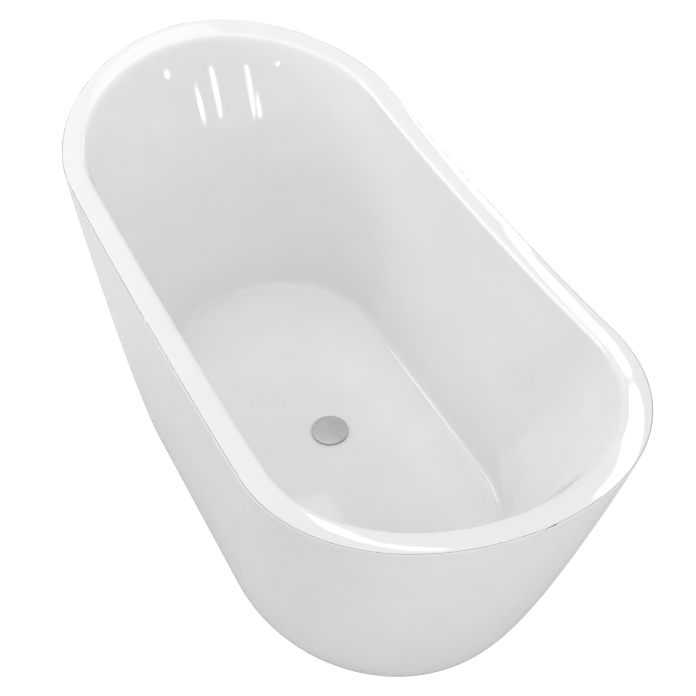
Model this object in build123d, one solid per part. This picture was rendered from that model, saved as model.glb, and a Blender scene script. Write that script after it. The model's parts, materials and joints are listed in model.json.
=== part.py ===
"""Freestanding double-slipper bathtub, in millimetres.

The tub is a bright white acrylic basin bonded at its rim to a separate outer skirt.
Under the basin there is a stiffening board, a welded steel frame on four levelling
feet, and the waste: a drain with a lift-up plug, and an overflow slot with its hose.
+X runs along the tub, +Z is up, and the overflow is in the wall on the -Y side.
The origin is on the floor, under the middle of the tub.
"""
import os
from math import pi, radians, tan

from build123d import *

os.makedirs("parts", exist_ok=True)

# %% Driving dimensions of the tub

LENGTH = 1500
WIDTH = 726
RIM_LOW = 600                # rim height half way along the tub
RIM_RISE = 88                # how much higher the rim is at both ends
RIM_EARLY_SHARE = 0.4        # share of that rise that follows a parabola; the rest comes later
BASE_HALF_LENGTH = 566
BASE_HALF_WIDTH = 312
BASE_STRAIGHT = 201          # half length of the straight sides at the floor
RIM_STRAIGHT = 422           # and at the rim
SKIRT_GAP = 4                # the skirt's lower edge stands this far off the floor
END_CURVE = 0.77             # below 1, the skirt bulges as it rises
SIDE_CURVE = 0.62

SHELL = 7                    # reinforced acrylic of the basin
FLOOR_THICKNESS = 8
SKIRT_WALL = 5
DECK_THICKNESS = 8
DECK_WIDTH = 47              # from the outer edge to the basin wall, before rounding
LIP_RADIUS = 14
EDGE_RADIUS = 3
FLOOR_Z = 98
FLOOR_HALF_LENGTH = 497
FLOOR_HALF_WIDTH = 239
FLOOR_STRAIGHT = 251
BASIN_END_CURVE = 1.3        # above 1, the backrests lean back more as they rise
BASIN_SIDE_CURVE = 0.8
FLOOR_RADIUS = 25
BOND_WIDTH = 12
BOND_HEIGHT = 12
RIM_TOP = RIM_LOW + RIM_RISE

# %% Driving dimensions of the frame and the feet

BOARD_LENGTH = 860
BOARD_WIDTH = 330
BOARD_THICKNESS = 12
BOARD_CORNER = 120
BOARD_HOLE_RADIUS = 45
TUBE_WIDTH = 25
TUBE_HEIGHT = 20
TUBE_WALL = 1.5
RAIL_Y = 150
CROSS_X = 340                # head and foot cross members, which carry the feet
CROSS_LENGTH = 430
MID_CROSS_X = 130
FOOT_Y = 175
STEM_RADIUS = 6
STEM_BOTTOM = 3.3
STEM_TOP_GAP = 0.5
THREAD_GAP = 0.1
SOCKET_RADIUS = 8
LOCK_NUT_ACROSS = 19
LOCK_NUT_HEIGHT = 8
SPANNER_ACROSS = 17          # the hexagon on a stem, and the heights it spans
SPANNER_BOTTOM = 12
SPANNER_TOP = 20
PAD_RADIUS = 25
PAD_HEIGHT = 8
PAD_BASE = 3
PAD_CHAMFER = 2
BRACKET_WIDTH = 40
BRACKET_THICKNESS = 3
BRACKET_INNER_Y = 190
BRACKET_OUTER_Y = 340
BRACKET_BOTTOM = 20
BRACKET_SCREW_Y = 203
SCREW_Y = 100
SCREW_RADIUS = 2.2
SCREW_HEAD_RADIUS = 4.5
SCREW_HEAD_HEIGHT = 2.5
BOARD_SCREW_DEPTH = 9
STEEL_SCREW_DEPTH = 6

# %% Driving dimensions of the waste and the overflow

DRAIN_HOLE_RADIUS = 23.3
WASTE_TUBE_RADIUS = 23
WASTE_TUBE_BOTTOM = 52
WASTE_BORE = 20.5
WASHER_RADIUS = 33
GASKET_BOTTOM = 87           # the rubber is between this height and the board
WASHER_BOTTOM = 85
LOCKNUT_BOTTOM = 75
LOCKNUT_ACROSS = 62
FLANGE_RADIUS = 36
FLANGE_LIP = 2
PLUG_SEAT_RADIUS = 30
PLUG_RADIUS = 39.5
PLUG_THICKNESS = 4
PLUG_CLEARANCE = 0.3
PLUG_EDGE = 1.5
SEAL_GAP = 1.2
PLUG_STEM_RADIUS = 4
PLUG_STEM_BOTTOM = 50
STEM_CLEARANCE = 0.05
COLLAR_RADIUS = 6.5
COLLAR_TOP = 53.7
GUIDE_RADIUS = 7
GUIDE_BOTTOM = 66            # 12.3 above the collar, so that the plug lifts 12
GUIDE_TOP = 80
GUIDE_ARM = 3
OUTLET_RADIUS = 19.15        # takes a 38.1 mm waste pipe
OUTLET_DEPTH = 20
TEE_RADIUS = 28
TEE_BORE = 17.5
TEE_BOTTOM = 12
TEE_TOP = 66
TEE_PORT_Z = 41
TEE_PORT_REACH = 80
SLOT_LENGTH = 92
SLOT_HEIGHT = 12
SLOT_Z = 560
BOX_LENGTH = 100
BOX_HEIGHT = 40
BOX_BACK_Y = -349
NIPPLE_Y = -334
NIPPLE_RADIUS = 9.5
NIPPLE_LENGTH = 35
NIPPLE_BORE = 7
BOX_WALL = 3
OVERFLOW_GASKET = 2
BOX_FLANGE = 3
BOX_SCREW_RADIUS = 2
BOX_SCREW_HEAD = 4
BOX_SCREW_DEPTH = 9
BOX_SCREW_SEAT = 1.8         # depth of the flange that is left under a screw's head
HOSE_RADIUS = 13
CLAMP_WIDTH = 8

BOARD_TOP = FLOOR_Z - FLOOR_THICKNESS
FRAME_TOP = BOARD_TOP - BOARD_THICKNESS
FRAME_BOTTOM = FRAME_TOP - TUBE_HEIGHT
FRAME_MIDDLE = (FRAME_TOP + FRAME_BOTTOM) / 2
CAP_BOTTOM = FLOOR_Z + FLANGE_LIP + PLUG_CLEARANCE


def save(shape, node):
    """Write one sub-part to its own STEP file."""
    export_step(shape, f"parts/{node}.step")


def save_group(shapes, node):
    """Write several equal pieces to one file, each as its own solid."""
    solids = [solid for shape in shapes for solid in shape.solids()]
    save(Compound(children=solids), node)


def disc(radius, bottom, top, x=0, y=0):
    """An upright cylinder between two heights."""
    return Pos(x, y, (bottom + top) / 2) * Cylinder(radius, top - bottom)


def tube(outer, inner, bottom, top, x=0, y=0):
    """An upright ring between two heights."""
    return disc(outer, bottom, top, x, y) - disc(inner, bottom - 1, top + 1, x, y)


def hexagon(across, bottom, top, x=0, y=0):
    """An upright hexagonal prism, measured across its flats."""
    outline = RegularPolygon(across / 2, 6, major_radius=False)
    return Pos(x, y, bottom) * extrude(outline, top - bottom)


def bore_along_y(radius, x, z, y_from, y_to):
    """A cylinder along Y between two depths."""
    return Pos(x, (y_from + y_to) / 2, z) * Rot(90, 0, 0) * Cylinder(radius, abs(y_to - y_from))


def block(low, high):
    """A box between two corners."""
    size = [b - a for a, b in zip(low, high)]
    middle = [(a + b) / 2 for a, b in zip(low, high)]
    return Pos(*middle) * Box(*size)


# %% The tub's outlines, level by level

def outline(half_length, half_width, straight, z):
    """A level face with two straight sides and two elliptical ends."""
    cap = half_length - straight
    edges = [
        Line((-straight, -half_width), (straight, -half_width)),
        EllipticalCenterArc((straight, 0), cap, half_width, -90, arc_size=180),
        Line((straight, half_width), (-straight, half_width)),
        EllipticalCenterArc((-straight, 0), cap, half_width, 90, arc_size=180),
    ]
    return Pos(0, 0, z) * make_face(Curve() + edges)


def outer_face(z, inset):
    """The skirt's outline at a height, brought in by an inset."""
    rise = (z / RIM_TOP) ** END_CURVE
    side_rise = min(z / RIM_LOW, 1) ** SIDE_CURVE
    half_length = BASE_HALF_LENGTH + (LENGTH / 2 - BASE_HALF_LENGTH) * rise
    half_width = BASE_HALF_WIDTH + (WIDTH / 2 - BASE_HALF_WIDTH) * side_rise
    straight = BASE_STRAIGHT + (RIM_STRAIGHT - BASE_STRAIGHT) * rise
    return outline(half_length - inset, half_width - inset, straight, z)


def basin_half_width(z):
    """Half the basin's inner width at a height, half way along the tub."""
    rise = min((z - FLOOR_Z) / (RIM_LOW - FLOOR_Z), 1) ** BASIN_SIDE_CURVE
    return FLOOR_HALF_WIDTH + (WIDTH / 2 - DECK_WIDTH - FLOOR_HALF_WIDTH) * rise


def inner_face(z, grow):
    """The basin wall's outline at a height, grown outwards."""
    rise = ((z - FLOOR_Z) / (RIM_TOP - FLOOR_Z)) ** BASIN_END_CURVE
    half_length = FLOOR_HALF_LENGTH + (LENGTH / 2 - DECK_WIDTH - FLOOR_HALF_LENGTH) * rise
    half_width = basin_half_width(z)
    straight = FLOOR_STRAIGHT + (RIM_STRAIGHT - FLOOR_STRAIGHT) * rise
    return outline(half_length + grow, half_width + grow, straight, z)


OUTER_LEVELS = (SKIRT_GAP, 60, 150, 280, 430, RIM_LOW, RIM_TOP, RIM_TOP + 60)
INNER_LEVELS = (FLOOR_Z, 150, 220, 320, 450, RIM_LOW, RIM_TOP, RIM_TOP + 60)


def outer_body(inset):
    """Everything inside the skirt's outer face, brought in by an inset."""
    return loft([outer_face(z, inset) for z in OUTER_LEVELS])


def inner_body(grow):
    """The basin's hollow, grown by some thickness."""
    body = loft([inner_face(z, grow) for z in INNER_LEVELS])
    return fillet(body.faces().sort_by(Axis.Z)[0].edges(), FLOOR_RADIUS + grow)


def rim_height(along):
    """Height of the deck, where along is 0 at the middle and 1 at either end."""
    early, late = along ** 2, along ** 4
    return RIM_LOW + RIM_RISE * (RIM_EARLY_SHARE * early + (1 - RIM_EARLY_SHARE) * late)


def below_rim(drop):
    """Everything under the saddle-shaped rim surface, lowered by some amount."""
    stations = [i / 6 for i in range(-7, 8)]
    points = [(LENGTH / 2 * u, rim_height(u) - drop) for u in stations]
    (left, _), (right, _) = points[0], points[-1]
    edges = [Spline(*points), Polyline(points[-1], (right, -20), (left, -20), points[0])]
    profile = Plane.XZ * make_face(Curve() + edges)
    return Pos(0, WIDTH, 0) * extrude(profile, 2 * WIDTH)


print("lofting the tub")
HOLLOW = inner_body(0)
BASIN_OUTSIDE = inner_body(SHELL)
BASIN_OUTSIDE = BASIN_OUTSIDE + Pos(0, 0, -FLOOR_THICKNESS) * BASIN_OUTSIDE
GASKET_OUTSIDE = inner_body(SHELL + OVERFLOW_GASKET)
FLANGE_OUTSIDE = inner_body(SHELL + OVERFLOW_GASKET + BOX_FLANGE)
SKIRT_INSIDE = outer_body(SKIRT_WALL)
BRACKET_INSIDE = outer_body(SKIRT_WALL + BRACKET_THICKNESS)
UNDER_DECK = below_rim(DECK_THICKNESS)

# %% Basin and skirt

def overflow_slot():
    """The long hole with round ends that runs through the basin wall."""
    hole = extrude(SlotOverall(SLOT_LENGTH, SLOT_HEIGHT), 30, both=True)
    return Pos(0, -basin_half_width(SLOT_Z), SLOT_Z) * Rot(90, 0, 0) * hole


def round_deck(shell):
    """Round the deck's inner lip into the wall, and ease its outer edge."""
    middle_of_deck = outer_body(DECK_WIDTH / 2).solid()

    def is_on_deck(edge):
        middle = edge @ 0.5
        return abs(middle.Z - rim_height(middle.X / (LENGTH / 2))) < 1

    def is_inner(edge):
        return middle_of_deck.is_inside(edge @ 0.5)

    edges = shell.edges().filter_by(is_on_deck)
    shell = fillet([edge for edge in edges if is_inner(edge)], LIP_RADIUS)
    edges = shell.edges().filter_by(is_on_deck)
    return fillet([edge for edge in edges if not is_inner(edge)], EDGE_RADIUS)


def basin_shell():
    """The basin with its deck, its drain hole and its overflow slot."""
    deck = (outer_body(0) & below_rim(0)) - UNDER_DECK
    shell = round_deck(deck + (BASIN_OUTSIDE & UNDER_DECK) - HOLLOW)
    shell -= disc(DRAIN_HOLE_RADIUS, BOARD_TOP - 5, FLOOR_Z + 5)
    return shell - overflow_slot()


def outer_skirt():
    """The outside of the tub, open below, up to the underside of the deck."""
    return (outer_body(0) & UNDER_DECK) - SKIRT_INSIDE


def rim_bond_strip():
    """The adhesive bead in the corner under the deck that holds skirt and basin together."""
    bead = SKIRT_INSIDE & UNDER_DECK
    bead -= below_rim(DECK_THICKNESS + BOND_HEIGHT)
    return bead - outer_body(SKIRT_WALL + BOND_WIDTH)


save(basin_shell(), "basin_shell")
save(outer_skirt(), "outer_skirt")
save(rim_bond_strip(), "rim_bond_strip")

# %% Stiffening board and frame

def square_tube(length):
    """A rectangular steel tube along X, centred on the origin."""
    outside = Box(length, TUBE_WIDTH, TUBE_HEIGHT)
    inside = Box(length + 2, TUBE_WIDTH - 2 * TUBE_WALL, TUBE_HEIGHT - 2 * TUBE_WALL)
    return outside - inside


def screw_places():
    """Where the wood screws go up through the cross members."""
    return [(x, y) for x in (-CROSS_X, -MID_CROSS_X, MID_CROSS_X, CROSS_X) for y in (-SCREW_Y, SCREW_Y)]


def base_board():
    """The plywood board laminated under the basin floor."""
    board = extrude(RectangleRounded(BOARD_LENGTH, BOARD_WIDTH, BOARD_CORNER), BOARD_THICKNESS)
    board = Pos(0, 0, FRAME_TOP) * board - disc(BOARD_HOLE_RADIUS, FRAME_TOP - 1, BOARD_TOP + 1)
    for x, y in screw_places():
        board -= disc(SCREW_RADIUS, FRAME_TOP - 1, FRAME_TOP + BOARD_SCREW_DEPTH, x, y)
    return board


def frame_rail(y):
    """A lengthwise rail between the two end cross members."""
    return Pos(0, y, FRAME_MIDDLE) * square_tube(2 * CROSS_X - TUBE_WIDTH)


def end_cross_member(x):
    """A cross member that carries two feet and reaches out to the skirt brackets."""
    member = Pos(x, 0, FRAME_MIDDLE) * Rot(0, 0, 90) * square_tube(CROSS_LENGTH)
    for side in (-1, 1):
        member -= disc(SOCKET_RADIUS, FRAME_BOTTOM - 1, FRAME_TOP + 1, x, side * FOOT_Y)
        member -= disc(SCREW_RADIUS, FRAME_BOTTOM - 1, FRAME_MIDDLE, x, side * BRACKET_SCREW_Y)
        member -= disc(SCREW_RADIUS, FRAME_BOTTOM - 1, FRAME_TOP + 1, x, side * SCREW_Y)
    return member


def mid_cross_member(x):
    """A shorter cross member welded between the rails, beside the waste."""
    member = Pos(x, 0, FRAME_MIDDLE) * Rot(0, 0, 90) * square_tube(2 * RAIL_Y - TUBE_WIDTH)
    for side in (-1, 1):
        member -= disc(SCREW_RADIUS, FRAME_BOTTOM - 1, FRAME_TOP + 1, x, side * SCREW_Y)
    return member


def pan_head_screw(x, y, seat, tip):
    """A screw that points up, with its head under a seat."""
    head = disc(SCREW_HEAD_RADIUS, seat - SCREW_HEAD_HEIGHT, seat, x, y)
    return head + disc(SCREW_RADIUS, seat, tip, x, y)


def frame_screw(x, y):
    """A screw up through a cross member into the board."""
    return pan_head_screw(x, y, FRAME_BOTTOM, FRAME_TOP + BOARD_SCREW_DEPTH)


save(base_board(), "base_board")
save(frame_rail(-RAIL_Y), "frame_rail_left")
save(frame_rail(RAIL_Y), "frame_rail_right")
save(end_cross_member(-CROSS_X), "cross_member_head")
save(mid_cross_member(-MID_CROSS_X), "cross_member_head_mid")
save(mid_cross_member(MID_CROSS_X), "cross_member_foot_mid")
save(end_cross_member(CROSS_X), "cross_member_foot")
save_group([frame_screw(x, y) for x, y in screw_places()], "frame_screws")

# %% Levelling feet

FOOT_PLACES = {
    "head_left": (-CROSS_X, -FOOT_Y),
    "head_right": (-CROSS_X, FOOT_Y),
    "foot_left": (CROSS_X, -FOOT_Y),
    "foot_right": (CROSS_X, FOOT_Y),
}


def foot_socket(x, y):
    """The threaded sleeve welded into a cross member."""
    return tube(SOCKET_RADIUS, STEM_RADIUS + THREAD_GAP, FRAME_BOTTOM, FRAME_TOP, x, y)


def foot_lock_nut(x, y):
    """The nut that locks a stem against the cross member."""
    bottom = FRAME_BOTTOM - LOCK_NUT_HEIGHT
    nut = hexagon(LOCK_NUT_ACROSS, bottom, FRAME_BOTTOM, x, y)
    return nut - disc(STEM_RADIUS + THREAD_GAP, bottom - 1, FRAME_BOTTOM + 1, x, y)


def foot_pad(x, y):
    """A round pad with a socket in which the stem turns."""
    pad = disc(PAD_RADIUS, 0, PAD_HEIGHT, x, y)
    pad = chamfer(pad.edges().group_by(Axis.Z)[-1], PAD_CHAMFER)
    return pad - disc(STEM_RADIUS + STEM_CLEARANCE, PAD_BASE, PAD_HEIGHT + 1, x, y)


def foot_stem(x, y):
    """A threaded stem with a hexagon for the spanner."""
    stem = disc(STEM_RADIUS, STEM_BOTTOM, FRAME_TOP - STEM_TOP_GAP, x, y)
    return stem + hexagon(SPANNER_ACROSS, SPANNER_BOTTOM, SPANNER_TOP, x, y)


save_group([foot_socket(x, y) for x, y in FOOT_PLACES.values()], "foot_sockets")
save_group([foot_lock_nut(x, y) for x, y in FOOT_PLACES.values()], "foot_lock_nuts")
for name, (x, y) in FOOT_PLACES.items():
    save(foot_pad(x, y), f"foot_pad_{name}")
    save(foot_stem(x, y), f"foot_stem_{name}")

# %% Brackets that hold the skirt's lower edge to the frame

def skirt_bracket(x, side):
    """An angle from under the cross member to the inside of the skirt."""
    low, high = x - BRACKET_WIDTH / 2, x + BRACKET_WIDTH / 2
    top = FRAME_BOTTOM
    near, far = sorted((side * BRACKET_INNER_Y, side * BRACKET_OUTER_Y))
    arm = block((low, near, top - BRACKET_THICKNESS), (high, far, top))
    leg = block((low, near, BRACKET_BOTTOM), (high, far, top)) - BRACKET_INSIDE
    bracket = (arm + leg) & SKIRT_INSIDE
    return bracket - disc(SCREW_RADIUS, BRACKET_BOTTOM, top + 1, x, side * BRACKET_SCREW_Y)


def bracket_screw(x, side):
    """A screw through the bracket into the cross member."""
    seat = FRAME_BOTTOM - BRACKET_THICKNESS
    return pan_head_screw(x, side * BRACKET_SCREW_Y, seat, FRAME_BOTTOM + STEEL_SCREW_DEPTH)


BRACKET_PLACES = {
    "head_left": (-CROSS_X, -1),
    "head_right": (-CROSS_X, 1),
    "foot_left": (CROSS_X, -1),
    "foot_right": (CROSS_X, 1),
}
for name, (x, side) in BRACKET_PLACES.items():
    save(skirt_bracket(x, side), f"skirt_bracket_{name}")
save_group([bracket_screw(x, side) for x, side in BRACKET_PLACES.values()], "bracket_screws")

# %% Drain

def drain_flange():
    """The flange on the basin floor and the threaded tube under it."""
    body = disc(FLANGE_RADIUS, FLOOR_Z, FLOOR_Z + FLANGE_LIP)
    body += disc(WASTE_TUBE_RADIUS, WASTE_TUBE_BOTTOM, FLOOR_Z + 1)
    body -= disc(WASTE_BORE, WASTE_TUBE_BOTTOM - 1, FLOOR_Z + 5)
    seat = Pos(0, 0, FLOOR_Z + FLANGE_LIP / 2) * Cone(WASTE_BORE, PLUG_SEAT_RADIUS, FLANGE_LIP)
    return body - seat


def plug_guide():
    """The cross inside the waste tube, with the bore that the plug's stem slides in."""
    guide = disc(GUIDE_RADIUS, GUIDE_BOTTOM, GUIDE_TOP)
    low, high = GUIDE_BOTTOM + 2, GUIDE_TOP - 2
    for angle in (0, 90):
        arm = block((-WASTE_BORE, -GUIDE_ARM / 2, low), (WASTE_BORE, GUIDE_ARM / 2, high))
        guide += Rot(0, 0, angle) * arm
    guide &= disc(WASTE_BORE, GUIDE_BOTTOM - 1, GUIDE_TOP + 1)
    return guide - disc(PLUG_STEM_RADIUS + STEM_CLEARANCE, GUIDE_BOTTOM - 1, GUIDE_TOP + 1)


def waste_tee():
    """The fitting under the drain: pipe socket below, overflow port to the side."""
    body = disc(TEE_RADIUS, TEE_BOTTOM, TEE_TOP)
    body += bore_along_y(NIPPLE_RADIUS, 0, TEE_PORT_Z, -TEE_PORT_REACH, -TEE_BORE)
    body -= disc(WASTE_TUBE_RADIUS + THREAD_GAP, WASTE_TUBE_BOTTOM, TEE_TOP + 1)
    body -= disc(TEE_BORE, TEE_BOTTOM, TEE_TOP)
    body -= disc(OUTLET_RADIUS, TEE_BOTTOM - 1, TEE_BOTTOM + OUTLET_DEPTH)
    return body - bore_along_y(NIPPLE_BORE, 0, TEE_PORT_Z, -TEE_PORT_REACH - 1, 0)


def drain_locknut():
    """The hexagonal nut that clamps the drain to the basin floor."""
    nut = hexagon(LOCKNUT_ACROSS, LOCKNUT_BOTTOM, WASHER_BOTTOM)
    return nut - disc(WASTE_TUBE_RADIUS + THREAD_GAP, LOCKNUT_BOTTOM - 1, WASHER_BOTTOM + 1)


def drain_ring(bottom, top):
    """A flat ring round the waste tube, under the basin floor."""
    return tube(WASHER_RADIUS, WASTE_TUBE_RADIUS + THREAD_GAP, bottom, top)


def plug_cap():
    """The round cover that is seen on the basin floor."""
    cap = disc(PLUG_RADIUS, CAP_BOTTOM, CAP_BOTTOM + PLUG_THICKNESS)
    return fillet(cap.edges().group_by(Axis.Z)[-1], PLUG_EDGE)


def plug_seal():
    """The rubber cone under the cover."""
    cone = Cone(WASTE_BORE - PLUG_CLEARANCE, PLUG_SEAT_RADIUS - SEAL_GAP, FLANGE_LIP)
    cone = Pos(0, 0, CAP_BOTTOM - FLANGE_LIP / 2) * cone
    return cone - disc(PLUG_STEM_RADIUS, CAP_BOTTOM - 5, CAP_BOTTOM + 1)


def plug_stem():
    """The stem that slides in the guide, with the collar that stops it coming out."""
    stem = disc(PLUG_STEM_RADIUS, PLUG_STEM_BOTTOM, CAP_BOTTOM)
    return stem + disc(COLLAR_RADIUS, PLUG_STEM_BOTTOM, COLLAR_TOP)


save(drain_flange(), "drain_flange")
save(plug_guide(), "plug_guide")
save(drain_ring(GASKET_BOTTOM, BOARD_TOP), "drain_gasket")
save(drain_ring(WASHER_BOTTOM, GASKET_BOTTOM), "drain_washer")
save(drain_locknut(), "drain_locknut")
save(waste_tee(), "waste_tee")
save(plug_cap(), "plug_cap")
save(plug_seal(), "plug_seal")
save(plug_stem(), "plug_stem")

# %% Overflow

BOX_BOTTOM = SLOT_Z - BOX_HEIGHT / 2
BOX_TOP = SLOT_Z + BOX_HEIGHT / 2
PLATE_X = 62
PLATE_Z = 26
PLATE_BACK_Y = -360
WALL_REACH = -290            # inside the basin, so that a cut reaches through the wall
SCREW_PLACES = [(x, SLOT_Z + z) for x in (-56, 56) for z in (-18, 18)]


def wall_plate(outside, inside):
    """A plate that follows the basin wall round the slot, between two lofts."""
    low = (-PLATE_X, PLATE_BACK_Y, SLOT_Z - PLATE_Z)
    plate = block(low, (PLATE_X, WALL_REACH, SLOT_Z + PLATE_Z))
    return (plate & outside) - inside


def screw_seat(z):
    """Where the flat seat of a screw's head lies in the flange, along Y."""
    return -basin_half_width(z) - SHELL - OVERFLOW_GASKET - BOX_SCREW_SEAT


def overflow_gasket():
    """The rubber sheet between the basin wall and the overflow box."""
    gasket = wall_plate(GASKET_OUTSIDE, BASIN_OUTSIDE) - overflow_slot()
    for x, z in SCREW_PLACES:
        gasket -= bore_along_y(BOX_SCREW_RADIUS, x, z, PLATE_BACK_Y, WALL_REACH)
    return gasket


def overflow_box():
    """The collecting box behind the slot, with its flange and the spigot for the hose."""
    side = BOX_LENGTH / 2
    room = side - BOX_WALL
    box = block((-side, BOX_BACK_Y, BOX_BOTTOM), (side, WALL_REACH, BOX_TOP))
    box = box - GASKET_OUTSIDE + wall_plate(FLANGE_OUTSIDE, GASKET_OUTSIDE)
    box += disc(NIPPLE_RADIUS, BOX_BOTTOM - NIPPLE_LENGTH, BOX_BOTTOM + 1, y=NIPPLE_Y)
    low = (-room, BOX_BACK_Y + BOX_WALL, BOX_BOTTOM + BOX_WALL)
    box -= block(low, (room, WALL_REACH, BOX_TOP - BOX_WALL))
    box -= disc(NIPPLE_BORE, BOX_BOTTOM - NIPPLE_LENGTH - 1, BOX_BOTTOM + BOX_WALL + 1, y=NIPPLE_Y)
    for x, z in SCREW_PLACES:
        box -= bore_along_y(BOX_SCREW_RADIUS, x, z, PLATE_BACK_Y, WALL_REACH)
        box -= bore_along_y(BOX_SCREW_HEAD, x, z, PLATE_BACK_Y, screw_seat(z))
    return box


def overflow_hose():
    """The hose from the overflow box down and in to the waste tee."""
    route = [
        (0, NIPPLE_Y, BOX_BOTTOM - 6), (0, NIPPLE_Y, 424), (0, -319, 234),
        (0, -300, 80), (0, -165, TEE_PORT_Z), (0, -62, TEE_PORT_Z),
    ]
    points = [Vector(*point) for point in route]
    radii = []
    for before, point, after in zip(points, points[1:], points[2:]):
        turn = (point - before).get_angle(after - point)
        run = min((point - before).length, (after - point).length)
        radii.append(0.45 * run / tan(radians(turn / 2)))
    path = FilletPolyline(*route, radius=radii)
    section = Plane(path @ 0, z_dir=path % 0) * (Circle(HOSE_RADIUS) - Circle(NIPPLE_RADIUS + THREAD_GAP))
    hose = sweep(section, path=path)
    area = pi * (HOSE_RADIUS ** 2 - (NIPPLE_RADIUS + THREAD_GAP) ** 2)
    print("hose radii", [round(radius) for radius in radii])
    print("hose length", round(path.length))
    print("hose volume over section times length", hose.volume / (area * path.length))
    return hose


def hose_clamp():
    """A band clamp with its screw housing, round the Z axis at the origin."""
    half = CLAMP_WIDTH / 2
    band = tube(HOSE_RADIUS + THREAD_GAP + 1, HOSE_RADIUS + THREAD_GAP, -half, half)
    housing = block((HOSE_RADIUS + 0.6, -half - 1, -half), (HOSE_RADIUS + 6, half + 1, half))
    return band + housing


def overflow_screw(x, z):
    """A short screw from the box's flange into the basin wall."""
    seat = screw_seat(z)
    shank = bore_along_y(BOX_SCREW_RADIUS, x, z, seat, seat + BOX_SCREW_DEPTH)
    return shank + bore_along_y(BOX_SCREW_HEAD, x, z, seat - 2, seat)


save(overflow_gasket(), "overflow_gasket")
save(overflow_box(), "overflow_box")
save_group([overflow_screw(x, z) for x, z in SCREW_PLACES], "overflow_screws")
save(overflow_hose(), "overflow_hose")
save(Pos(0, NIPPLE_Y, BOX_BOTTOM - 20) * hose_clamp(), "hose_clamp_top")
save(Pos(0, -72, TEE_PORT_Z) * Rot(90, 0, 0) * hose_clamp(), "hose_clamp_bottom")
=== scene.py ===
# %% [markdown]
# # A freestanding acrylic bathtub
# The tub is two white acrylic shells, a basin and a skirt, bonded at the rim. Both are built here as
# smooth meshes, because a gloss surface shows every flat facet in its reflections. So are the drain
# cover and the ribbed overflow hose. The other parts come ready made from the frame, and only get
# their finishes here.

# %% Load the frame
import json
import math

import bmesh
import bpy
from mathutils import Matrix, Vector


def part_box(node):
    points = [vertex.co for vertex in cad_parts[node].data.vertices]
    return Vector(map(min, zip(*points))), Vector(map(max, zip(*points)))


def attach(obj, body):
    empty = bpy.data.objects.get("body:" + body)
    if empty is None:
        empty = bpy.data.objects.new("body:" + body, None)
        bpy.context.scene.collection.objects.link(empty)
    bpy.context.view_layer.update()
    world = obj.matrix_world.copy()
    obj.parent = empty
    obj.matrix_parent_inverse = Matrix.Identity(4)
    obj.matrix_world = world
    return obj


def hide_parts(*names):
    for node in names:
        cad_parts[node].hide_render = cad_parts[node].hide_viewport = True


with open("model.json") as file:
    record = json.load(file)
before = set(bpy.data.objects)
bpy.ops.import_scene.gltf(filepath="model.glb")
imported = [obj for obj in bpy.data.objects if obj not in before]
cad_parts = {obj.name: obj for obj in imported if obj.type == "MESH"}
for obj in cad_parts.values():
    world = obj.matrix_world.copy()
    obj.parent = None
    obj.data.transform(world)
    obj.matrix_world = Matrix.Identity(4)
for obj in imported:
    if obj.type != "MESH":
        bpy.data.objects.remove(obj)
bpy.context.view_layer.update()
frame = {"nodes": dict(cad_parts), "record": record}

# %% [markdown]
# ## Sizes
# A maker's drawing of a tub gives its outline at the floor and at the rim, and how the wall swells
# between them. A power below 1 swells early and leaves the wall nearly upright at the top. A power
# above 1 swells late, and gives the ends their leaning backrests.

# %% Sizes of the two shells, in metres
MM = 0.001
LENGTH = 1500 * MM
WIDTH = 726 * MM
RIM_LOW = 600 * MM
RIM_TOP = 688 * MM
RIM_EARLY_SHARE = 0.4
SKIRT_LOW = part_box("outer_skirt")[0].z
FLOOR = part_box("drain_flange")[1].z - 2 * MM
BASE = {"half_length": 566 * MM, "half_width": 312 * MM, "straight": 201 * MM}
RIM = {"half_length": LENGTH / 2, "half_width": WIDTH / 2, "straight": 422 * MM}
BASIN_FLOOR = {"half_length": 497 * MM, "half_width": 239 * MM, "straight": 251 * MM}
DECK_WIDTH = 47 * MM
BASIN_RIM = {
    "half_length": RIM["half_length"] - DECK_WIDTH,
    "half_width": RIM["half_width"] - DECK_WIDTH,
    "straight": RIM["straight"],
}
SKIRT_END_CURVE, SKIRT_SIDE_CURVE = 0.77, 0.62
BASIN_END_CURVE, BASIN_SIDE_CURVE = 1.3, 0.8
DECK_THICKNESS = 8 * MM
FLOOR_THICKNESS = 8 * MM
SHELL = 7 * MM
SKIRT_WALL = 5 * MM
LIP_RADIUS = 14 * MM
EDGE_RADIUS = 3 * MM
FLOOR_RADIUS = 25 * MM
DRAIN_HOLE = 23.3 * MM
FLOOR_FALL = 3 * MM
print("floor of the basin at", round(FLOOR, 4), "skirt from", round(SKIRT_LOW, 4))


def rim_height(x):
    """Height of the deck above the bathroom floor, at a place along the tub."""
    along = abs(x) / (LENGTH / 2)
    early, late = along ** 2, along ** 4
    return RIM_LOW + (RIM_TOP - RIM_LOW) * (RIM_EARLY_SHARE * early + (1 - RIM_EARLY_SHARE) * late)


# %% [markdown]
# ## Rings
# Every level of the tub is the same shape: two straight sides joined by two half ellipses. So a
# shell can be made like a pot on a wheel that isn't round. A ring of edges is drawn at one level,
# extruded, and moved to the next level. Each vertex keeps its bearing, so that the grid stays tidy
# and the faces stay four-sided, which is what makes reflections run smoothly.

# %% Outlines
SIDE_SPREAD = 37.5
SETTLING_ROUNDS = 12


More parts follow.
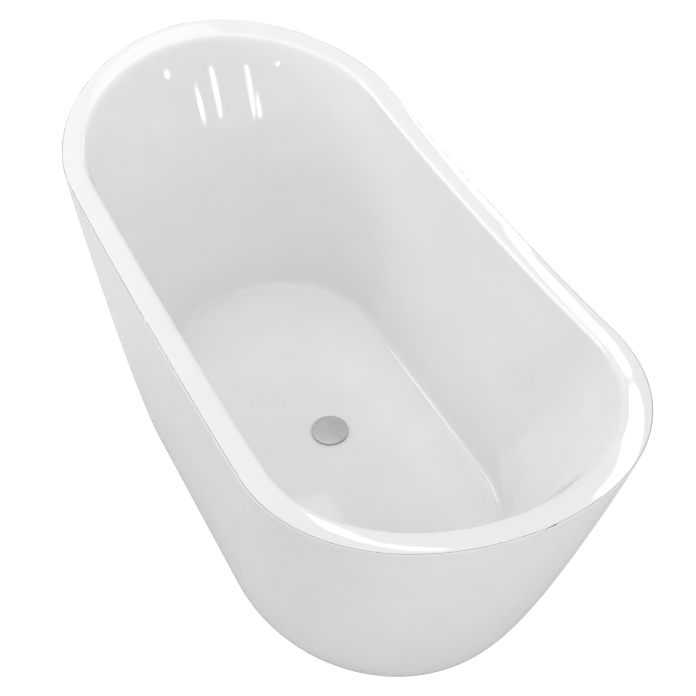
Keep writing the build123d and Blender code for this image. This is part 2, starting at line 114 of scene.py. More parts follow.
def outline(bearing, half_length, half_width, straight):
    """The place on a level outline for a bearing in degrees, where 0 is the foot end."""
    from_side = abs(abs(bearing) - 90)
    if from_side <= SIDE_SPREAD:
        x, y = straight * from_side / SIDE_SPREAD, half_width
    else:
        turn = math.radians((from_side - SIDE_SPREAD) / (90 - SIDE_SPREAD) * 90)
        x = straight + (half_length - straight) * math.sin(turn)
        y = half_width * math.cos(turn)
    return (x if abs(bearing) < 90 else -x), (y if bearing > 0 else -y)


def mix(low, high, share_long, share_wide):
    """An outline's sizes between two others. Ends and sides swell at their own rate."""
    return (
        low["half_length"] + (high["half_length"] - low["half_length"]) * share_long,
        low["half_width"] + (high["half_width"] - low["half_width"]) * share_wide,
        low["straight"] + (high["straight"] - low["straight"]) * share_long,
    )


def skirt_outline(z):
    """Sizes of the skirt's outline at a height."""
    share_long = (z / RIM_TOP) ** SKIRT_END_CURVE
    return mix(BASE, RIM, share_long, min(z / RIM_LOW, 1) ** SKIRT_SIDE_CURVE)


def basin_outline(z):
    """Sizes of the basin wall's outline at a height."""
    rise = max(z - FLOOR, 0)
    share_long = (rise / (RIM_TOP - FLOOR)) ** BASIN_END_CURVE
    share_wide = min(rise / (RIM_LOW - FLOOR), 1) ** BASIN_SIDE_CURVE
    return mix(BASIN_FLOOR, BASIN_RIM, share_long, share_wide)


def on_shell(bearing, sizes, height, grow=0.0):
    """A point on a shell where the height itself depends on the place along the tub."""
    z = RIM_LOW
    for _ in range(SETTLING_ROUNDS):
        half_length, half_width, straight = sizes(z)
        x, y = outline(bearing, half_length + grow, half_width + grow, straight)
        z = height(x)
    return Vector((x, y, z))


# %% Ring tools
SEGMENTS = 192
FRONT, BACK = 0, 1


def first_ring(bm, place, segments=SEGMENTS):
    """Draws the first ring of a shell and returns its edges."""
    bearing = bm.verts.layers.float.get("bearing") or bm.verts.layers.float.new("bearing")
    verts = bmesh.ops.create_circle(bm, radius=1, segments=segments)["verts"]
    for vert in verts:
        vert[bearing] = math.degrees(math.atan2(vert.co.y, vert.co.x))
        vert.co = place(vert[bearing])
    return list({edge for vert in verts for edge in vert.link_edges})


def next_ring(bm, ring, place, face_of=FRONT):
    """Extrudes a ring of edges, moves the new ring into its place and returns its edges."""
    bearing = bm.verts.layers.float["bearing"]
    new = set(bmesh.ops.extrude_edge_only(bm, edges=ring)["geom"])
    for part in new:
        if isinstance(part, bmesh.types.BMVert):
            part.co = place(part[bearing])
        if isinstance(part, bmesh.types.BMFace):
            part.material_index = face_of
    return [part for part in new if isinstance(part, bmesh.types.BMEdge) and new.issuperset(part.verts)]


def round_off(bm, edges, radius, segments):
    """Rounds a ring of edges, as a tool of that radius would."""
    turn = sum(edge.calc_face_angle() for edge in edges) / len(edges)
    bmesh.ops.bevel(
        bm, geom=edges, offset=radius * math.tan(turn / 2), offset_type="OFFSET",
        segments=segments, profile=0.5, affect="EDGES", material=-1, clamp_overlap=True,
    )


def keep_sharp(edges):
    """Keeps a fold from being shaded as if it were round."""
    for edge in edges:
        if edge.is_valid:
            edge.smooth = False


def make_object(bm, name):
    """Turns a finished bmesh into a smooth scene object with its place in its mesh."""
    for face in bm.faces:
        face.smooth = True
    mesh = bpy.data.meshes.new(name)
    bm.to_mesh(mesh)
    bm.free()
    piece = bpy.data.objects.new(name, mesh)
    bpy.context.scene.collection.objects.link(piece)
    print(name, len(mesh.polygons), "faces")
    return piece


# %% [markdown]
# ## Basin
# The real basin is a hot acrylic sheet drawn down into a mould, so it has one flowing surface:
# a flat deck, a rounded lip, a leaning wall, and a rounded turn into the floor. Glass fibre and resin
# are sprayed on its back, which follows it at the shell's thickness. The rings run over the deck,
# down the inside, through the drain hole, and back up the outside until they meet the first one.

# %% Basin rings
WALL_ROWS = 22
BACK_ROWS = 14
FLOOR_ROWS = 9
FLOOR_CROWDING = 1.3
BACK_FLOOR_ROWS = 4
FRONT_STEPS, BACK_STEPS, EDGE_STEPS = 8, 5, 4


def basin_wall(share, grow=0.0):
    """A place on the basin wall, where share is 0 at the floor and 1 at the deck."""
    def place(bearing):
        def height(x):
            return FLOOR + (rim_height(x) - FLOOR) * share
        return on_shell(bearing, basin_outline, height, grow)
    return place


def deck_ring(inset, drop):
    """A place on the deck, at an inset from its outer edge and a drop below its top."""
    def place(bearing):
        return on_shell(bearing, skirt_outline, lambda x: rim_height(x) - drop, -inset)
    return place


def floor_ring(share, drop=0.0, grow=0.0):
    """A place on the basin floor, where share is 0 at the drain hole and 1 at the wall."""
    def place(bearing):
        half_length = BASIN_FLOOR["half_length"] + grow
        half_width = BASIN_FLOOR["half_width"] + grow
        edge = Vector(outline(bearing, half_length, half_width, BASIN_FLOOR["straight"]))
        angle = math.radians(bearing)
        hole = Vector((math.cos(angle), math.sin(angle))) * DRAIN_HOLE
        spot = hole.lerp(edge, share)
        return Vector((spot.x, spot.y, FLOOR - drop + FLOOR_FALL * share * (1 - share)))
    return place


def basin_skin(bm):
    """Runs the rings over the front and the back of the basin, and rounds its folds."""
    start = ring = first_ring(bm, deck_ring(0, DECK_THICKNESS))
    edge = ring = next_ring(bm, ring, deck_ring(0, 0))
    ring = next_ring(bm, ring, deck_ring(DECK_WIDTH / 2, 0))
    lip = ring = next_ring(bm, ring, deck_ring(DECK_WIDTH, 0))
    for row in range(WALL_ROWS - 1, 0, -1):
        ring = next_ring(bm, ring, basin_wall(row / WALL_ROWS))
    foot = ring = next_ring(bm, ring, floor_ring(1))
    for row in range(FLOOR_ROWS - 1, 0, -1):
        ring = next_ring(bm, ring, floor_ring((row / FLOOR_ROWS) ** FLOOR_CROWDING))
    hole_top = ring = next_ring(bm, ring, floor_ring(0))
    hole_low = ring = next_ring(bm, ring, floor_ring(0, FLOOR_THICKNESS), BACK)
    for row in range(1, BACK_FLOOR_ROWS):
        ring = next_ring(bm, ring, floor_ring(row / BACK_FLOOR_ROWS, FLOOR_THICKNESS, SHELL), BACK)
    back_foot = ring = next_ring(bm, ring, floor_ring(1, FLOOR_THICKNESS, SHELL), BACK)
    for row in range(1, BACK_ROWS):
        ring = next_ring(bm, ring, basin_wall(row / BACK_ROWS, SHELL), BACK)
    back_top = ring = next_ring(bm, ring, deck_ring(DECK_WIDTH - SHELL, DECK_THICKNESS), BACK)
    for face in bmesh.ops.bridge_loops(bm, edges=start + ring)["faces"]:
        face.material_index = BACK
    round_off(bm, lip, LIP_RADIUS, FRONT_STEPS)
    round_off(bm, foot, FLOOR_RADIUS, FRONT_STEPS)
    round_off(bm, back_foot, FLOOR_RADIUS + SHELL, BACK_STEPS)
    round_off(bm, edge, EDGE_RADIUS, EDGE_STEPS)
    keep_sharp(start + hole_top + hole_low + back_top)


# %% [markdown]
# ## Overflow slot
# The slot is cut through the finished shell, as a router does in the factory. The wall is flat along
# X here, so straight cuts first free a small window in both skins. A ring in the shape of the slot
# stands in each window, and bridges join window to ring and ring to ring.

# %% Slot cut
SLOT_LENGTH, SLOT_HEIGHT, SLOT_Z = 92 * MM, 12 * MM, 560 * MM
SLOT_EDGE = 1.2 * MM
SLOT_EDGE_STEPS = 3
SLOT_SEGMENTS = 48
WINDOW_MARGIN = 8 * MM
CUT_REACH = 30 * MM


def slot_window(bm):
    """Cuts the window round the slot out of both skins of the near wall."""
    reach_x = SLOT_LENGTH / 2 + WINDOW_MARGIN
    reach_z = SLOT_HEIGHT / 2 + WINDOW_MARGIN

    def near(face, extra):
        middle = face.calc_center_median()
        in_wall = middle.y < 0 and abs(middle.z - SLOT_Z) < reach_z + extra
        return in_wall and abs(middle.x) < reach_x + extra

    cuts = [((side * reach_x, 0, 0), (1, 0, 0)) for side in (-1, 1)]
    cuts += [((0, 0, SLOT_Z + side * reach_z), (0, 0, 1)) for side in (-1, 1)]
    for place, across in cuts:
        faces = [face for face in bm.faces if near(face, CUT_REACH)]
        parts = {part for face in faces for part in (*face.verts, *face.edges, face)}
        bmesh.ops.bisect_plane(bm, geom=list(parts), plane_co=place, plane_no=across)
    window = [face for face in bm.faces if near(face, 0)]
    bmesh.ops.delete(bm, geom=window, context="FACES")
    return [edge for edge in bm.edges if edge.is_boundary]


def slot_ring(depth):
    """A place on the slot's outline, at a depth behind the wall's front."""
    def place(bearing):
        radius = SLOT_HEIGHT / 2
        x, up = outline(bearing, SLOT_LENGTH / 2, radius, SLOT_LENGTH / 2 - radius)
        return Vector((x, -basin_outline(SLOT_Z + up)[1] - depth, SLOT_Z + up))
    return place


def cut_slot(bm):
    """Cuts the overflow slot through the basin's wall."""
    window = slot_window(bm)
    middle = -basin_outline(SLOT_Z)[1] - SHELL / 2
    front_window = [edge for edge in window if edge.verts[0].co.y > middle]
    back_window = [edge for edge in window if edge.verts[0].co.y < middle]
    front = first_ring(bm, slot_ring(0), SLOT_SEGMENTS)
    back = first_ring(bm, slot_ring(SHELL), SLOT_SEGMENTS)
    bmesh.ops.bridge_loops(bm, edges=front_window + front)
    for face in bmesh.ops.bridge_loops(bm, edges=back_window + back)["faces"]:
        face.material_index = BACK
    bmesh.ops.bridge_loops(bm, edges=front + back)
    bmesh.ops.recalc_face_normals(bm, faces=bm.faces)
    round_off(bm, front, SLOT_EDGE, SLOT_EDGE_STEPS)
    keep_sharp(back)
    print("slot window edges", len(window), "open edges left", sum(edge.is_boundary for edge in bm.edges))


basin_mesh = bmesh.new()
basin_skin(basin_mesh)
cut_slot(basin_mesh)
basin = make_object(basin_mesh, "basin")
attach(basin, "tub")
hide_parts("basin_shell")

# %% [markdown]
# ## Skirt
# The skirt is a second sheet, wrapped round the basin. It narrows towards the floor in a slow
# curve that tightens near the bottom. It is made with the same rings. On the real tub the joint under
# the deck is filled and polished away, so a low tongue on the skirt closes it here.

# %% Skirt rings
SKIRT_ROWS = 26
SKIRT_BACK_ROWS = 14
SKIRT_CROWDING = 1.4
SKIRT_EDGE = 1.5 * MM
SKIRT_EDGE_STEPS = 3
TONGUE = 0.5 * MM


def skirt_wall(share, grow=0.0, lift=0.0):
    """A place on the skirt, where share is 0 at its lower edge and 1 under the deck."""
    def place(bearing):
        def height(x):
            rise = rim_height(x) - DECK_THICKNESS - SKIRT_LOW
            return SKIRT_LOW + rise * share ** SKIRT_CROWDING + lift
        return on_shell(bearing, skirt_outline, height, grow)
    return place


def skirt_skin(bm):
    """Runs the rings down the outside of the skirt and up its inside."""
    tongue = first_ring(bm, skirt_wall(1, -TONGUE, TONGUE))
    top = ring = next_ring(bm, tongue, skirt_wall(1))
    for row in range(SKIRT_ROWS - 1, 0, -1):
        ring = next_ring(bm, ring, skirt_wall(row / SKIRT_ROWS))
    low_out = ring = next_ring(bm, ring, skirt_wall(0))
    low_in = ring = next_ring(bm, ring, skirt_wall(0, -SKIRT_WALL))
    for row in range(1, SKIRT_BACK_ROWS):
        ring = next_ring(bm, ring, skirt_wall(row / SKIRT_BACK_ROWS, -SKIRT_WALL), BACK)
    top_in = ring = next_ring(bm, ring, skirt_wall(1, -SKIRT_WALL), BACK)
    for face in bmesh.ops.bridge_loops(bm, edges=tongue + ring)["faces"]:
        face.material_index = BACK
    bmesh.ops.recalc_face_normals(bm, faces=bm.faces)
    round_off(bm, low_out, SKIRT_EDGE, SKIRT_EDGE_STEPS)
    keep_sharp(top + top_in + low_in)


skirt_mesh = bmesh.new()
skirt_skin(skirt_mesh)
skirt = make_object(skirt_mesh, "skirt")
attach(skirt, "tub")
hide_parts("outer_skirt")

# %% [markdown]
# ## Drain cover
# The cover is a thin metal disc, turned on a lathe: slightly domed, so that water runs off, with a
# rounded edge. Its profile is drawn from the middle out, then spun once round.

# %% Spin the cover
COVER_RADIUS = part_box("plug_cap")[1].x
COVER_LOW, COVER_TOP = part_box("plug_cap")[0].z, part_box("plug_cap")[1].z
COVER_DOME = 0.5 * MM
COVER_EDGE = 1.5 * MM
COVER_STEPS = 96
COVER_EDGE_STEPS = 5
DOME_SHARES = (0, 0.3, 0.6, 0.85, 1)


def cover_profile(bm):
    """Draws half of the cover's section and returns its vertices and edges."""
    points = [(share * COVER_RADIUS, COVER_TOP - COVER_DOME * share ** 2) for share in DOME_SHARES]
    points += [(COVER_RADIUS, COVER_LOW), (COVER_RADIUS / 2, COVER_LOW), (0, COVER_LOW)]
    verts = [bm.verts.new((radius, 0, height)) for radius, height in points]
    return verts + [bm.edges.new(pair) for pair in zip(verts, verts[1:])]


def on_rim(edge, height):
    """True for an edge that runs round the cover's rim at a height."""
    level = all(abs(vert.co.z - height) < 0.01 * MM for vert in edge.verts)
    return level and all(vert.co.xy.length > 0.99 * COVER_RADIUS for vert in edge.verts)


def spin_cover(bm):
    """Spins the cover's section once round and rounds both edges of its rim."""
    bmesh.ops.spin(
        bm, geom=cover_profile(bm), cent=(0, 0, 0), axis=(0, 0, 1),
        angle=math.tau, steps=COVER_STEPS, use_merge=True,
    )
    bmesh.ops.remove_doubles(bm, verts=bm.verts, dist=0.001 * MM)
    bmesh.ops.recalc_face_normals(bm, faces=bm.faces)
    for height, radius in ((COVER_TOP - COVER_DOME, COVER_EDGE), (COVER_LOW, COVER_EDGE / 4)):
        rim = [edge for edge in bm.edges if on_rim(edge, height)]
        round_off(bm, rim, radius, COVER_EDGE_STEPS)


cover_mesh = bmesh.new()
spin_cover(cover_mesh)
drain_cover = make_object(cover_mesh, "drain_cover")
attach(drain_cover, "plug")
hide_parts("plug_cap")

# %% [markdown]
# ## Overflow hose
# A blown plastic hose has ribs that let it bend, and a smooth cuff at each end for its clamp. Its
# middle line is a smooth curve. Rings are set along that line, and their radius goes up and down
# for the ribs. The inside is smooth, and fits over the spigots of the box and of the tee.

# %% Hose route
HOSE_ROUTE = [Vector(place) * MM for place in (
    (0, -334, 534), (0, -334, 424), (0, -319, 234), (0, -300, 80), (0, -165, 41), (0, -62, 41),
)]
HOSE_RADIUS = 12.95 * MM
RIB_DEPTH = 1.5 * MM
RIB_PITCH = 5 * MM
STEPS_PER_RIB = 6
TOP_CUFF, LOW_CUFF = 30 * MM, 22 * MM
HOSE_BORE = 9.6 * MM
HOSE_SEGMENTS = 28
LINE_STEPS = 64


def middle_line(route):
    """A smooth curve along a route, as a list of close points."""
    curve = bpy.data.curves.new("hose_route", "CURVE")
    curve.dimensions = "3D"
    curve.resolution_u = LINE_STEPS
    spline = curve.splines.new("NURBS")
    spline.points.add(len(route) - 1)
    for point, place in zip(spline.points, route):
        point.co = (*place, 1)
    spline.order_u = 3
    spline.use_endpoint_u = True
    guide = bpy.data.objects.new("hose_route", curve)
    bpy.context.scene.collection.objects.link(guide)
    line = bpy.data.meshes.new_from_object(guide)
    points = [vert.co.copy() for vert in line.vertices]
    bpy.data.objects.remove(guide)
    bpy.data.curves.remove(curve)
    bpy.data.meshes.remove(line)
    return points


def even_places(points, step):
    """Places at an even step along a line, each with its direction and distance, and the length."""
    lengths = [(after - before).length for before, after in zip(points, points[1:])]
    total = sum(lengths)
    count = round(total / step)
    places = []
    index, passed = 0, 0.0
    for number in range(count + 1):
        along = total * number / count
        while index < len(lengths) - 1 and passed + lengths[index] < along:
            passed += lengths[index]
            index += 1
        way = points[index + 1] - points[index]
        places.append((points[index] + way * (along - passed) / lengths[index], way.normalized(), along))
    print("hose length", round(total / MM), "mm")
    return places, total


# %% Hose rings
def hose_ring(place, way, radius):
    """A round ring across the hose's direction."""
    across = Vector((1, 0, 0))
    up = way.cross(across)

    def on_ring(bearing):
        angle = math.radians(bearing)
        return place + (across * math.cos(angle) + up * math.sin(angle)) * radius
    return on_ring


def rib_radius(along, total):
    """The hose's outer radius at a distance from its start."""
    if along < TOP_CUFF or along > total - LOW_CUFF:
        return HOSE_RADIUS
    return HOSE_RADIUS - RIB_DEPTH * (0.5 - 0.5 * math.cos(math.tau * (along - TOP_CUFF) / RIB_PITCH))


def hose_skin(bm):
    """Runs the rings down the outside of the hose and back up its bore."""
    places, total = even_places(middle_line(HOSE_ROUTE), RIB_PITCH / STEPS_PER_RIB)
    start_place, start_way, _ = places[0]
    start = ring = first_ring(bm, hose_ring(start_place, start_way, HOSE_RADIUS), HOSE_SEGMENTS)
    for place, way, along in places[1:]:
        ring = next_ring(bm, ring, hose_ring(place, way, rib_radius(along, total)))
    end = ring
    for place, way, along in reversed(places[::STEPS_PER_RIB]):
        ring = next_ring(bm, ring, hose_ring(place, way, HOSE_BORE))
    bmesh.ops.bridge_loops(bm, edges=start + ring)
    bmesh.ops.recalc_face_normals(bm, faces=bm.faces)
    keep_sharp(start + end)


hose_mesh = bmesh.new()
hose_skin(hose_mesh)
hose = make_object(hose_mesh, "ribbed_hose")
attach(hose, "tub")
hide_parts("overflow_hose")

# %% [markdown]
# ## Patterns
# No real surface has one flat colour. Six patterns are made once, as shader node groups, and each
# finish uses one for its colour and gloss and one for its relief. They all read Object coordinates,
# so a pattern stays on its piece at its true size: patches, long grain, plies of a board, rings from
# a lathe, zinc crystals, and the strands of a glass-fibre mat.

# %% Node helpers
def put(tree, kind, sockets=None, **settings):
    """Adds a node to a tree, with its settings and the values of its sockets."""
    node = tree.nodes.new(kind)
    for name, value in settings.items():
        setattr(node, name, value)
    for name, value in (sockets or {}).items():
        node.inputs[name].default_value = value
    return node


def start_pattern(name):
    """Starts a pattern group with a Scale input and a Mask output."""
    group = bpy.data.node_groups.new(name, "ShaderNodeTree")
    group.interface.new_socket("Scale", in_out="INPUT", socket_type="NodeSocketFloat")
    group.interface.new_socket("Mask", in_out="OUTPUT", socket_type="NodeSocketFloat")
    scale = group.nodes.new("NodeGroupInput").outputs["Scale"]
    place = group.nodes.new("ShaderNodeTexCoord").outputs["Object"]
    return group, scale, place


def end_pattern(group, value, low, high):
    """Spreads a value between low and high over 0 to 1 and sends it out as the mask."""
    spread = put(group, "ShaderNodeMapRange", {"From Min": low, "From Max": high})
    group.links.new(value, spread.inputs["Value"])
    group.links.new(spread.outputs["Result"], group.nodes.new("NodeGroupOutput").inputs["Mask"])
    print("pattern", group.name)
    return group


def noise(group, place, scale, detail=4.0):
    """Soft noise at a scale, inside a pattern group."""
    texture = put(group, "ShaderNodeTexNoise", {"Detail": detail})
    group.links.new(place, texture.inputs["Vector"])
    group.links.new(scale, texture.inputs["Scale"])
    return texture.outputs["Fac"]


# %% Patterns
def patches_pattern():
    group, scale, place = start_pattern("patches")
    return end_pattern(group, noise(group, place, scale), 0.32, 0.68)


def grain_pattern():
    group, scale, place = start_pattern("long_grain")
    stretch = put(group, "ShaderNodeMapping", {"Scale": (0.05, 1, 1)})
    group.links.new(place, stretch.inputs["Vector"])
    return end_pattern(group, noise(group, stretch.outputs["Vector"], scale, 7.0), 0.35, 0.65)


def waves_of(group, length, scale):
    """Even waves along a length, inside a pattern group."""
    turns = put(group, "ShaderNodeMath", operation="MULTIPLY")
    group.links.new(length, turns.inputs[0])
    group.links.new(scale, turns.inputs[1])
    waves = put(group, "ShaderNodeMath", operation="SINE")
    group.links.new(turns.outputs["Value"], waves.inputs[0])
    return waves.outputs["Value"]


def plies_pattern():
    group, scale, place = start_pattern("plies")
    apart = put(group, "ShaderNodeSeparateXYZ")
    group.links.new(place, apart.inputs["Vector"])
    return end_pattern(group, waves_of(group, apart.outputs["Z"], scale), -0.3, 0.3)


def lathe_pattern():
    group, scale, place = start_pattern("lathe_rings")
    flat = put(group, "ShaderNodeVectorMath", {1: (1, 1, 0)}, operation="MULTIPLY")
    group.links.new(place, flat.inputs[0])
    radius = put(group, "ShaderNodeVectorMath", operation="LENGTH")
    group.links.new(flat.outputs["Vector"], radius.inputs[0])
    return end_pattern(group, waves_of(group, radius.outputs["Value"], scale), -1, 1)


def crystals_pattern():
    group, scale, place = start_pattern("zinc_crystals")
    cells = put(group, "ShaderNodeTexVoronoi")
    group.links.new(place, cells.inputs["Vector"])
    group.links.new(scale, cells.inputs["Scale"])
    tones = put(group, "ShaderNodeSeparateColor")
    group.links.new(cells.outputs["Color"], tones.inputs["Color"])
    return end_pattern(group, tones.outputs["Red"], 0, 1)


def strands_pattern():
    group, scale, place = start_pattern("glass_strands")
    layers = []
    for turn in (25, -50):
        lay = put(group, "ShaderNodeMapping", {
            "Rotation": (math.radians(turn), math.radians(turn), math.radians(turn)), "Scale": (0.08, 1, 1),
        })
        group.links.new(place, lay.inputs["Vector"])
        layers.append(noise(group, lay.outputs["Vector"], scale, 2.0))
    upper = put(group, "ShaderNodeMath", operation="MAXIMUM")
    for socket, layer in enumerate(layers):
        group.links.new(layer, upper.inputs[socket])
    return end_pattern(group, upper.outputs["Value"], 0.42, 0.72)


PATCHES, GRAIN, PLIES = patches_pattern(), grain_pattern(), plies_pattern()
LATHE, CRYSTALS, STRANDS = lathe_pattern(), crystals_pattern(), strands_pattern()

# %% [markdown]
# ## Finishes
# A finish is a Principled shader whose colour and roughness both follow one pattern, because a
# patch that looks darker is often also duller, and whose bump follows a finer one. The bump's
# height is in metres, as on the real surface: hundredths of a millimetre for a moulded or coated
# part, and a third of a millimetre for the sprayed back of a shell.

# %% Finish builder
def make_finish(name, colours, roughness, look, relief, metallic=0.0, ior=1.5):
    """A material from two colours, two roughnesses, and a pattern and scale for look and relief."""
    material = bpy.data.materials.new(name)
    material.use_nodes = True
    tree = material.node_tree
    shader = tree.nodes["Principled BSDF"]
    shader.inputs["Metallic"].default_value = metallic
    shader.inputs["IOR"].default_value = ior
    pattern, scale = look
    mask = put(tree, "ShaderNodeGroup", node_tree=pattern)
    mask.inputs["Scale"].default_value = scale
    ramp = put(tree, "ShaderNodeValToRGB")
    for element, colour in zip(ramp.color_ramp.elements, colours):
        element.color = (*colour, 1)
    gloss = put(tree, "ShaderNodeMapRange", {"To Min": roughness[0], "To Max": roughness[1]})
    tree.links.new(mask.outputs["Mask"], ramp.inputs["Fac"])
    tree.links.new(mask.outputs["Mask"], gloss.inputs["Value"])
    tree.links.new(ramp.outputs["Color"], shader.inputs["Base Color"])
    tree.links.new(gloss.outputs["Result"], shader.inputs["Roughness"])
    pattern, scale, height = relief
    fine = put(tree, "ShaderNodeGroup", node_tree=pattern)
    fine.inputs["Scale"].default_value = scale
    bump = put(tree, "ShaderNodeBump", {"Distance": height})
    tree.links.new(fine.outputs["Mask"], bump.inputs["Height"])
    tree.links.new(bump.outputs["Normal"], shader.inputs["Normal"])
    print("finish", name)
    return material


def grey(value, warmth=0.0):
    """A near-neutral colour, a little warm or cool."""
    return (value + warmth, value, value - warmth)


# %% Finishes of every slot
ACRYLIC = make_finish(
    "white_acrylic", (grey(0.885), grey(0.905)), (0.035, 0.07),
    (PATCHES, 9), (PATCHES, 22, 0.004 * MM), ior=1.49,
)
GLASS_FIBRE = make_finish(
    "sprayed_glass_fibre", (grey(0.62, 0.03), grey(0.74, 0.02)), (0.5, 0.75),
    (PATCHES, 14), (STRANDS, 260, 0.35 * MM),
)
FINISHES = {
    "acrylic": ACRYLIC,
    "adhesive": make_finish(
        "cured_adhesive", (grey(0.66, 0.01), grey(0.72, 0.01)), (0.4, 0.6),
        (PATCHES, 40), (PATCHES, 120, 0.3 * MM),
    ),
    "plywood": make_finish(
        "coated_plywood", ((0.36, 0.22, 0.11), (0.56, 0.38, 0.2)), (0.45, 0.7),
        (GRAIN, 90), (PLIES, math.tau / (3 * MM), 0.12 * MM),
    ),
    "coated_steel": make_finish(
        "grey_powder_coat", (grey(0.085, -0.004), grey(0.105, -0.004)), (0.4, 0.55),
        (PATCHES, 60), (PATCHES, 700, 0.05 * MM),
    ),
    "zinc_steel": make_finish(
        "bright_zinc", (grey(0.48, -0.01), grey(0.62, -0.01)), (0.22, 0.42),
        (CRYSTALS, 260), (PATCHES, 500, 0.01 * MM), metallic=1.0,
    ),
    "pad_steel": make_finish(
        "dull_zinc", (grey(0.3), grey(0.4)), (0.42, 0.6),
        (CRYSTALS, 180), (PATCHES, 400, 0.03 * MM), metallic=1.0,
    ),
    "seal_rubber": make_finish(
        "black_rubber", (grey(0.012), grey(0.024)), (0.55, 0.75), (PATCHES, 120), (PATCHES, 900, 0.03 * MM),
    ),
    "waste_brass": make_finish(
        "turned_brass", ((0.5, 0.34, 0.12), (0.66, 0.48, 0.2)), (0.16, 0.32),
        (PATCHES, 70), (LATHE, math.tau / (0.5 * MM), 0.004 * MM), metallic=1.0,
    ),
    "satin_cover": make_finish(
        "satin_nickel", (grey(0.5), grey(0.56)), (0.34, 0.42),
        (PATCHES, 60), (LATHE, math.tau / (0.8 * MM), 0.003 * MM), metallic=1.0,
    ),
    "fitting_plastic": make_finish(
        "white_fitting_plastic", (grey(0.68, 0.004), grey(0.74, 0.004)), (0.3, 0.42),
        (PATCHES, 50), (PATCHES, 800, 0.02 * MM),
    ),
    "hose_plastic": make_finish(
        "grey_hose_plastic", (grey(0.4, -0.006), grey(0.46, -0.006)), (0.32, 0.48),
        (PATCHES, 70), (PATCHES, 900, 0.02 * MM),
    ),
}

# %% Give every piece its finish
for shell in (basin, skirt):
    shell.data.materials.append(ACRYLIC)
    shell.data.materials.append(GLASS_FIBRE)
drain_cover.data.materials.append(FINISHES["satin_cover"])
hose.data.materials.append(FINISHES["hose_plastic"])
for row in frame["record"]["subparts"]:
    node = frame["nodes"][row["node"]]
    node.data.materials.clear()
    node.data.materials.append(FINISHES[row["material_slot"]])

# %% [markdown]
# ## Studio
# A white tub on a white ground shows its shape only by soft shade. The ground lets the camera see
# mostly white, with a trace of real shadow, and still throws light back up like a pale floor. From
# below it is clear, so that the frame and the feet can be looked at. The sky is brighter to the camera
# than to the tub, which keeps the backdrop clean.

# %% Ground and sky
GROUND_HALF = 12
GROUND_GAP = 0.3 * MM
GROUND_COLOUR = (0.8, 0.8, 0.8, 1)
GROUND_WHITE, GROUND_WHITE_SHARE = 1.3, 0.8
SKY_SEEN, SKY_LIGHT = 1.1, 0.54


def ground_material():
    """Mostly plain white where the camera looks at it, and a matt pale floor to everything else."""
    material = bpy.data.materials.new("pale_ground")
    material.use_nodes = True
    tree = material.node_tree
    tree.nodes.remove(tree.nodes["Principled BSDF"])
    matt = put(tree, "ShaderNodeBsdfDiffuse", {"Color": GROUND_COLOUR})
    white = put(tree, "ShaderNodeEmission", {"Strength": GROUND_WHITE})
    share = put(tree, "ShaderNodeMath", {1: GROUND_WHITE_SHARE}, operation="MULTIPLY")
    both = put(tree, "ShaderNodeMixShader")
    tree.links.new(put(tree, "ShaderNodeLightPath").outputs["Is Camera Ray"], share.inputs[0])
    tree.links.new(share.outputs["Value"], both.inputs["Fac"])
    tree.links.new(matt.outputs["BSDF"], both.inputs[1])
    tree.links.new(white.outputs["Emission"], both.inputs[2])
    clear = put(tree, "ShaderNodeBsdfTransparent")
    sided = put(tree, "ShaderNodeMixShader")
    tree.links.new(put(tree, "ShaderNodeNewGeometry").outputs["Backfacing"], sided.inputs["Fac"])
    tree.links.new(both.outputs["Shader"], sided.inputs[1])
    tree.links.new(clear.outputs["BSDF"], sided.inputs[2])
    tree.links.new(sided.outputs["Shader"], tree.nodes["Material Output"].inputs["Surface"])
    return material


ground_mesh = bmesh.new()
grid = bmesh.ops.create_grid(ground_mesh, x_segments=1, y_segments=1, size=GROUND_HALF)
bmesh.ops.translate(ground_mesh, verts=grid["verts"], vec=(0, 0, -GROUND_GAP))
ground = make_object(ground_mesh, "studio_ground")
ground.data.materials.append(ground_material())

sky = bpy.data.worlds.new("studio_sky")
bpy.context.scene.world = sky
sky.use_nodes = True
sky_tree = sky.node_tree
lit = sky_tree.nodes["Background"]
lit.inputs["Color"].default_value = (1, 1, 1, 1)
lit.inputs["Strength"].default_value = SKY_LIGHT
seen = put(sky_tree, "ShaderNodeBackground", {"Color": (1, 1, 1, 1), "Strength": SKY_SEEN})
choice = put(sky_tree, "ShaderNodeMixShader")
sky_tree.links.new(put(sky_tree, "ShaderNodeLightPath").outputs["Is Camera Ray"], choice.inputs["Fac"])
sky_tree.links.new(lit.outputs["Background"], choice.inputs[1])
sky_tree.links.new(seen.outputs["Background"], choice.inputs[2])
sky_tree.links.new(choice.outputs["Shader"], sky_tree.nodes["World Output"].inputs["Surface"])
bpy.context.scene.view_settings.view_transform = "Standard"

# %% [markdown]
# ## Lamps
# Three large soft lamps shape the tub: one behind the head end on the overflow side, which lights the
# far wall, one over the head end, and one beyond the foot end for the skirt, which the gloss doesn't
# mirror, so that the backrest stays clean. Small soft boxes stand
# where the deck mirrors them, and a row of tall lamps stands where the backrest mirrors them as
# glints. The camera doesn't see a lamp itself, only its light and its reflection.

# %% Lamp tools
def area_lamp(name, place, target, width, height, power, shape="RECTANGLE"):
    """A flat lamp that faces a target."""
    light = bpy.data.lights.new(name, "AREA")
    light.shape = shape
    light.size = width
    light.size_y = height
    light.energy = power
    lamp = bpy.data.objects.new(name, light)
    lamp.location = place
    lamp.rotation_euler = (Vector(target) - Vector(place)).to_track_quat("-Z", "Y").to_euler()
    lamp.visible_camera = False
    bpy.context.scene.collection.objects.link(lamp)
    print("lamp", name, power, "W")


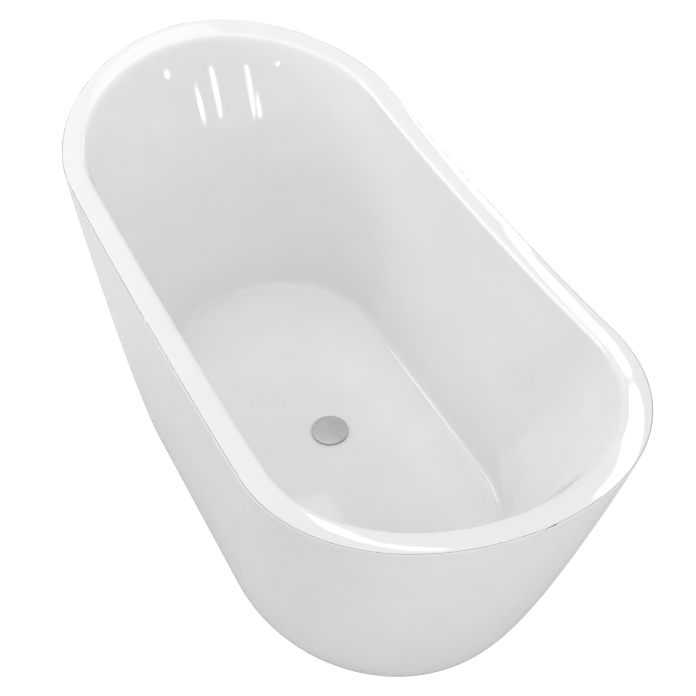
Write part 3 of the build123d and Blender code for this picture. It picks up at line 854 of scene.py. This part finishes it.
def far_place(start, bearing, elevation, distance):
    """A place at a distance from a start, in a direction given in degrees."""
    across = math.cos(math.radians(elevation)) * distance
    turn = math.radians(bearing)
    rise = math.sin(math.radians(elevation)) * distance
    return Vector(start) + Vector((math.cos(turn) * across, math.sin(turn) * across, rise))


# %% Large lamps
TUB_MIDDLE = (0, 0, 0.4)
LARGE_LAMP = 1.6
area_lamp("behind_head", (-2.2, -2.0, 2.4), TUB_MIDDLE, LARGE_LAMP, LARGE_LAMP, 35)
area_lamp("over_head", (-0.9, 0, 3.0), TUB_MIDDLE, LARGE_LAMP, LARGE_LAMP, 13)
area_lamp("beyond_foot", (2.8, 0, 2.6), TUB_MIDDLE, LARGE_LAMP, LARGE_LAMP, 20)
bpy.data.objects["beyond_foot"].visible_glossy = False

# %% Soft boxes for the deck
DECK_NEAR, DECK_FAR, DECK_SIDE = (0.58, -0.28, 0.64), (0.63, 0.26, 0.65), (0.33, 0.34, 0.61)
area_lamp("deck_box_near", far_place(DECK_NEAR, 161.5, 32, 8), DECK_NEAR, 0.6, 0.6, 4.4, "ELLIPSE")
area_lamp("deck_box_far", far_place(DECK_FAR, 147, 26.5, 3), DECK_FAR, 0.45, 0.45, 2.6, "ELLIPSE")
area_lamp("deck_box_side", far_place(DECK_SIDE, 142, 39, 3), DECK_SIDE, 0.45, 0.45, 2.6, "ELLIPSE")

# %% Tall lamps for the glints on the backrest
BACKREST = (-0.65, 0, 0.55)
GLINT_DISTANCE = 7
GLINT_WIDTH = 0.4
GLINT_POWER = 10
GLINTS = ((32, 2.3, 0.7), (15, 1.6, 0.6), (3, 1.85, 1.2), (-20, 1.75, 0.9), (-24, 1.4, 0.5), (-42, 2.1, 0.5))
for number, (bearing, height, tall) in enumerate(GLINTS):
    place = far_place((0, 0, height), bearing, 0, GLINT_DISTANCE)
    area_lamp(f"glint_{number}", place, BACKREST, GLINT_WIDTH, tall, GLINT_POWER * tall, "ELLIPSE")

# %% [markdown]
# ## Camera
# The camera looks down from the foot end and the overflow side, so that the basin's floor, its far
# wall and the skirt all show.

# %% Camera
CAMERA_AZIMUTH = math.radians(62.47)
CAMERA_ELEVATION = math.radians(46.66)
CAMERA_DISTANCE = 2.702
CAMERA_TARGET = Vector((-0.071, 0.081, 0.255))
back = Vector((
    math.sin(CAMERA_AZIMUTH) * math.cos(CAMERA_ELEVATION),
    -math.cos(CAMERA_AZIMUTH) * math.cos(CAMERA_ELEVATION),
    math.sin(CAMERA_ELEVATION),
))
CAMERA_SENSOR, CAMERA_LENS = 36, 65.54
lens = bpy.data.cameras.new("camera")
lens.sensor_width = CAMERA_SENSOR
lens.lens = CAMERA_LENS
camera = bpy.data.objects.new("camera", lens)
camera.location = CAMERA_TARGET + back * CAMERA_DISTANCE
camera.rotation_euler = (-back).to_track_quat("-Z", "Y").to_euler()
bpy.context.scene.collection.objects.link(camera)
bpy.context.scene.camera = camera
